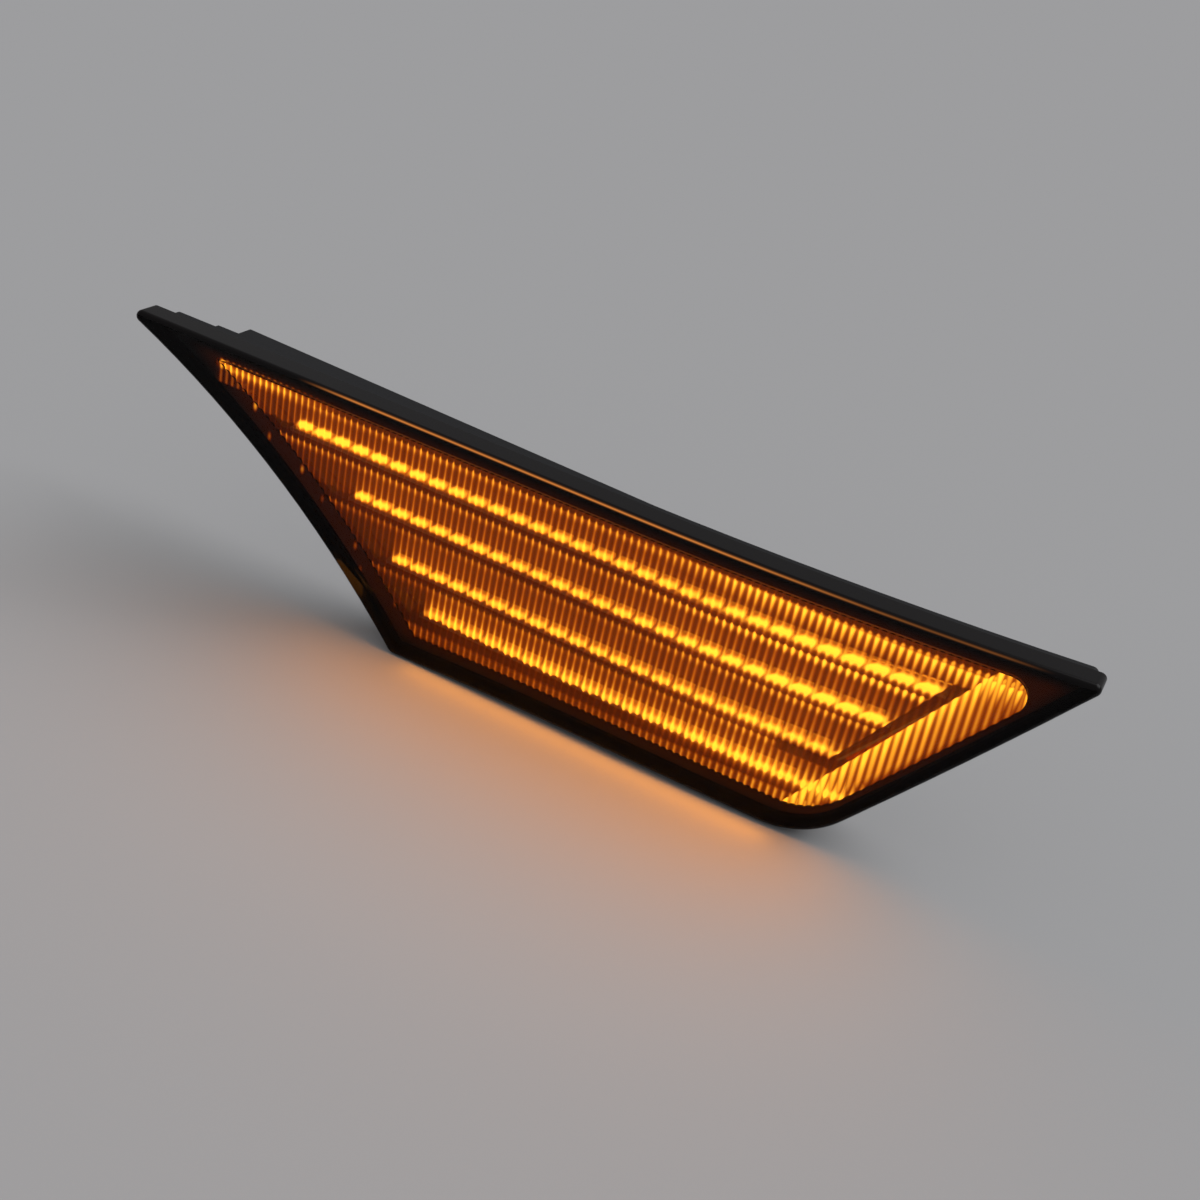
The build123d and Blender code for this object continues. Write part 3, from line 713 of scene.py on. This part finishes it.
def fluted_glow():
    """Flutes with the light of the rows painted on them as upright strokes of emission."""
    light = glow()
    cover = light.flute_cover
    finish = Finish("fluted_glow", specular=0.1, roughness=0.25, alpha=cover, emission_strength=GLOW_STRENGTH)
    finish.set("Base Color", finishes().lens)
    x, _, z = finish.millimetres()
    stroke = flute_strokes(x)
    past_rib = rib_distance(x, z)
    levels = []
    top = window_heights()[1] - ROW_TOP_DROP
    for row in ROWS:
        levels.append(row_light(finish, x, z, row, top, stroke))
        top = row_heights(row)[1] + SHELF_LAP
    levels.append(apron_light(finish, x, z, top, stroke))
    off_rib = finish.ramp(z, *RIB_ABOVE).most(finish.ramp(z, *RIB_BELOW))
    level = brightest(levels) * finish.ramp(past_rib, *RIB_SIDE).most(off_rib)
    level = level.most(crown_light(finish, x, z, stroke)).most(ledge_light(finish, x, z, past_rib))
    level = level.most(tip_light(finish, x, z, stroke)).most(end_light(finish, x, z, past_rib))
    level = level.most(glints(x, z)) * (1 - rib_shade(finish, x, z, past_rib))
    # Painted dim light between the rows, fainter towards the window's left edge
    haze = finish.ramp(left_distance(x, z), *LEFT_DIM_FADE, LEFT_DIM_FADE_LEVEL, 1.0)
    level += stroke.spread(VARIATION) * light.dark * haze
    shine(finish, level * finish.noise(CLOUD_SCALE, 1).spread(VARIATION), cover)
    return finish


# Finishes of the other pieces
def bezel_black():
    """Satin mask round the window, with light painted on it: the strokes of the window's left tip, glints,
    and a faint glow that reaches past the window's edges.
    """
    finish = Finish("bezel_black", specular=0.1, roughness=0.6, emission_strength=GLOW_STRENGTH)
    finish.set("Base Color", finishes().bezel)
    x, _, z = finish.millimetres()
    low, high = window_heights()
    leak = finish.ramp(z, low + LEAK_BELOW[0], low + LEAK_BELOW[1])
    leak *= finish.ramp(z, high + LEAK_ABOVE[0], high + LEAK_ABOVE[1])
    leak *= finish.ramp(left_distance(x, z), *LEAK_LEFT) * finish.ramp(rib_distance(x, z), *LEAK_RIGHT)
    level = tip_light(finish, x, z, flute_strokes(x)).most(glints(x, z)).most(leak * LEAK_LEVEL)
    shine(finish, level, 1.0)
    return finish


def reflector_amber():
    """Plastic of the reflector with the light of its LEDs painted on as emission, each step brightening down
    to its LEDs.
    """
    light = glow()
    finish = Finish("reflector_amber", roughness=0.3, emission_strength=1.0)
    finish.set("Base Color", finishes().reflector)
    _, _, z = finish.millimetres()
    levels = []
    top = window_heights()[1]
    for row in ROWS:
        led, shelf = row_heights(row)
        step = finish.between(z, shelf - STEP_EDGE, top, STEP_SOFTNESS)
        levels.append(step * finish.ramp(z, top, led, *STEP_LEVELS))
        top = shelf - STEP_DROP
    finish.set("Emission Color", finish.tint(light.amber, brightest(levels) * light.reflector))
    finish.material.cycles.emission_sampling = "NONE"
    return finish


def led_resin(name, colour, strength):
    """Glowing resin whose brightness varies a little over the LEDs."""
    finish = Finish(name, roughness=0.3, emission_strength=strength)
    finish.set("Base Color", colour)
    varied = finish.noise(LED_GRAIN_SCALE).from_level(LED_LEAST)
    finish.set("Emission Color", finish.tint(colour, varied))
    return finish


def circuit_green():
    """Solder mask of the driver board with its tinned traces."""
    look = finishes()
    finish = Finish("circuit_green", roughness=0.35)
    _, _, z = finish.millimetres()
    traces = finish.between(z.wrap(TRACE_PITCH), -TRACE_HALF_WIDTH, TRACE_HALF_WIDTH, TRACE_SOFTNESS)
    finish.set("Base Color", finish.blend(traces, look.board, look.copper))
    finish.set("Metallic", traces * TRACE_METAL)
    return finish


def grained(name, colour, scale, contrast, rough, **constants):
    """A finish whose colour and roughness vary with a fine grain."""
    finish = Finish(name, **constants)
    grain = finish.noise(scale, 3)
    finish.set("Base Color", finish.blend(grain, colour, [part * contrast for part in colour[:3]] + [1]))
    finish.set("Roughness", grain * GRAIN_ROUGHNESS + rough)
    finish.bump(grain, GRAIN_DEPTH, GRAIN_STRENGTH)
    return finish


class LAMP_OT_lens(bpy.types.Operator):
    """Smooth copy of the lens, with its flutes lit"""

    bl_idname = "lamp.lens"
    bl_label = "Lens"

    def execute(self, context):
        lens = smooth_copy(context, "outer_lens", "lens")
        lens.data.materials.append(smoked_lens().material)
        lens.data.materials.append(fluted_glow().material)
        lens.data.materials.append(lens_edge_painted_glint().material)
        wall = glow().lens_wall
        front = lowest("outer_lens", 1)
        radius = glow().bend_radius
        for face in lens.data.polygons:
            depth = depth_behind_face(face.center, front, radius)
            looks_back = face.normal.y > LOOKS_BACK
            if looks_back and wall + FLUTE_FOOT < depth < wall + FLUTE_TIP:
                face.material_index = 1
            elif depth > FACE_SLACK and not (looks_back and abs(depth - wall) < FACE_SLACK):
                face.material_index = 2
        return {"FINISHED"}


class LAMP_OT_housing(bpy.types.Operator):
    """Moulded housing, bezel, seal and gland"""

    bl_idname = "lamp.housing"
    bl_label = "Housing"

    def execute(self, context):
        look = finishes()
        moulded = grained("housing_black", look.housing, scale=2600, contrast=1.5, rough=0.38, specular=0.15)
        housing = smooth_copy(context, "housing", "moulded_housing")
        housing.data.materials.append(moulded.material)
        wear("bezel", bezel_black())
        rubber = grained("rubber_black", look.rubber, scale=900, contrast=1.6, rough=0.62)
        gland = smooth_copy(context, "wire_gland", "rubber_gland")
        gland.data.materials.append(rubber.material)
        wear("lens_seal", rubber)
        return {"FINISHED"}


class LAMP_OT_light(bpy.types.Operator):
    """Lit reflector and LEDs, and the light that they throw on the floor"""

    bl_idname = "lamp.light"
    bl_label = "Reflector and LEDs"

    def execute(self, context):
        light = glow()
        wear("reflector", reflector_amber())
        led = led_resin("led_amber", light.amber, light.led)
        for row in ROWS:
            wear(f"leds_row_{row}", led)
        wear("leds_end", led_resin("led_amber_dim", light.ember, light.end_led))
        window = (lowest("leds_row_4", 2), highest("leds_row_1", 2))
        self.add_spill(context, "amber_spill", "leds_row_2", window, SPILL_TILT, light.spill)
        foot = lowest("outer_lens", 2)
        edge = [foot + height for height in EDGE_SPILL_HEIGHTS]
        self.add_spill(context, "amber_edge_spill", "leds_row_4", edge, EDGE_SPILL_TILT, light.edge_spill)
        return {"FINISHED"}

    def add_spill(self, context, name, row, heights, tilt, power):
        """Amber light that leaves the lens for the floor in front: as long as a row, between two heights."""
        left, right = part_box(row)
        low, high = heights
        place = ((left.x + right.x) / 2, lowest("outer_lens", 1) - SPILL_GAP, (low + high) / 2)
        bpy.ops.object.select_all(action="DESELECT")
        bpy.ops.object.light_add(type="AREA", location=place, rotation=(-tilt, 0, 0))
        spill = context.active_object
        spill.name = name
        spill.visible_camera = False
        spill.data.shape = "RECTANGLE"
        spill.data.size = right.x - left.x
        spill.data.size_y = high - low
        spill.data.energy = power
        spill.data.color = glow().amber[:3]


class LAMP_OT_circuit(bpy.types.Operator):
    """LED strips, driver board and its components"""

    bl_idname = "lamp.circuit"
    bl_label = "Circuit"

    def execute(self, context):
        look = finishes()
        strip = grained("circuit_white", look.strip, scale=1500, contrast=0.85, rough=0.3)
        for row in (*ROWS, "end"):
            wear(f"led_strip_{row}", strip)
        wear("driver_board", circuit_green())
        moulded = grained("component_black", look.component, scale=1800, contrast=1.5, rough=0.4)
        for node in ("controller_chip", "resistors", "rectifier_diodes"):
            wear(node, moulded)
        can = grained("capacitor_can", look.steel, scale=1200, contrast=0.8, rough=0.2, metallic=1.0)
        wear("smoothing_capacitor", can)
        steel = grained("plated_steel", look.steel, scale=2000, contrast=0.85, rough=0.22, metallic=1.0)
        wear("board_screws", steel)
        wear("bus_wires", steel)
        brass = grained("brass_pin", look.brass, scale=2000, contrast=0.85, rough=0.2, metallic=1.0)
        wear("supply_pins", brass)
        return {"FINISHED"}


class LAMP_OT_stage(bpy.types.Operator):
    """Floor, soft lights, world and camera"""

    bl_idname = "lamp.stage"
    bl_label = "Stage"

    def execute(self, context):
        stage = context.scene.lamp_stage
        bpy.ops.object.select_all(action="DESELECT")
        bpy.ops.mesh.primitive_plane_add(size=stage.floor_size, location=(0, 0, CAD_BOX[0][2]))
        floor = context.active_object
        floor.name = "floor"
        plain = Finish("pale_floor", specular=0.0, roughness=0.6)
        plain.set("Base Color", stage.floor)
        floor.data.materials.append(plain.material)
        bpy.ops.object.light_add(type="SUN", location=KEY_PLACE)
        key = context.active_object
        key.name = "key_light"
        key.data.energy = stage.key_strength
        key.data.angle = stage.key_angle
        key.rotation_euler = Vector(KEY_PLACE).to_track_quat("Z", "Y").to_euler()
        self.light_world(context, stage)
        bpy.ops.object.camera_add(location=stage.camera_place)
        camera = context.active_object
        camera.data.lens = stage.lens_mm
        camera.data.sensor_width = SENSOR_WIDTH
        camera.data.clip_start = NEAREST_SEEN
        level = Vector(stage.camera_ahead).to_track_quat("-Z", "Y").to_matrix()
        turn = Matrix.Rotation(stage.camera_roll, 3, "Z")
        camera.rotation_euler = (level @ turn).to_euler()
        context.scene.camera = camera
        context.scene.view_settings.view_transform = "Standard"
        return {"FINISHED"}

    def light_world(self, context, stage):
        """Even white light, seen by the camera and in reflections as a backdrop like the floor."""
        world = bpy.data.worlds.new("studio")
        world.use_nodes = True
        tree = world.node_tree
        ambient = tree.nodes["Background"]
        ambient.inputs["Color"].default_value = (1, 1, 1, 1)
        ambient.inputs["Strength"].default_value = stage.ambient
        backdrop = tree.nodes.new("ShaderNodeBackground")
        backdrop.inputs["Color"].default_value = stage.floor
        key_share = Vector(KEY_PLACE).normalized().z / math.pi
        backdrop.inputs["Strength"].default_value = stage.ambient + stage.key_strength * key_share
        rays = tree.nodes.new("ShaderNodeLightPath").outputs
        kinds = ("Is Camera Ray", "Is Glossy Ray", "Is Transmission Ray")
        seen = brightest(Value(tree, rays[kind]) for kind in kinds)
        mix = tree.nodes.new("ShaderNodeMixShader")
        tree.links.new(seen.socket, mix.inputs["Fac"])
        tree.links.new(ambient.outputs[0], mix.inputs[1])
        tree.links.new(backdrop.outputs[0], mix.inputs[2])
        tree.links.new(mix.outputs[0], tree.nodes["World Output"].inputs["Surface"])
        context.scene.world = world


class LAMP_PT_panel(bpy.types.Panel):
    """Buttons for the lamp's steps"""

    bl_idname = "LAMP_PT_panel"
    bl_label = "Lamp"
    bl_space_type = "VIEW_3D"
    bl_region_type = "UI"
    bl_category = "Lamp"

    def draw(self, context):
        for step in STEPS:
            self.layout.operator(step.bl_idname)


STEPS = (LAMP_OT_lens, LAMP_OT_housing, LAMP_OT_light, LAMP_OT_circuit, LAMP_OT_stage)
GROUPS = (LampFinishes, LampGlow, LampStage)
CLASSES = (*GROUPS, *STEPS, LAMP_PT_panel)


def register():
    """Register the classes and hang the settings on the scene."""
    for item in CLASSES:
        bpy.utils.register_class(item)
    bpy.types.Scene.lamp_finishes = bpy.props.PointerProperty(type=LampFinishes)
    bpy.types.Scene.lamp_glow = bpy.props.PointerProperty(type=LampGlow)
    bpy.types.Scene.lamp_stage = bpy.props.PointerProperty(type=LampStage)


def unregister():
    """Take the settings and classes away again."""
    del bpy.types.Scene.lamp_stage
    del bpy.types.Scene.lamp_glow
    del bpy.types.Scene.lamp_finishes
    for item in reversed(CLASSES):
        bpy.utils.unregister_class(item)


def main():
    """Register the add-on and run each step."""
    register()
    bpy.ops.lamp.lens()
    bpy.ops.lamp.housing()
    bpy.ops.lamp.light()
    bpy.ops.lamp.circuit()
    bpy.ops.lamp.stage()


if __name__ == "__main__":
    main()
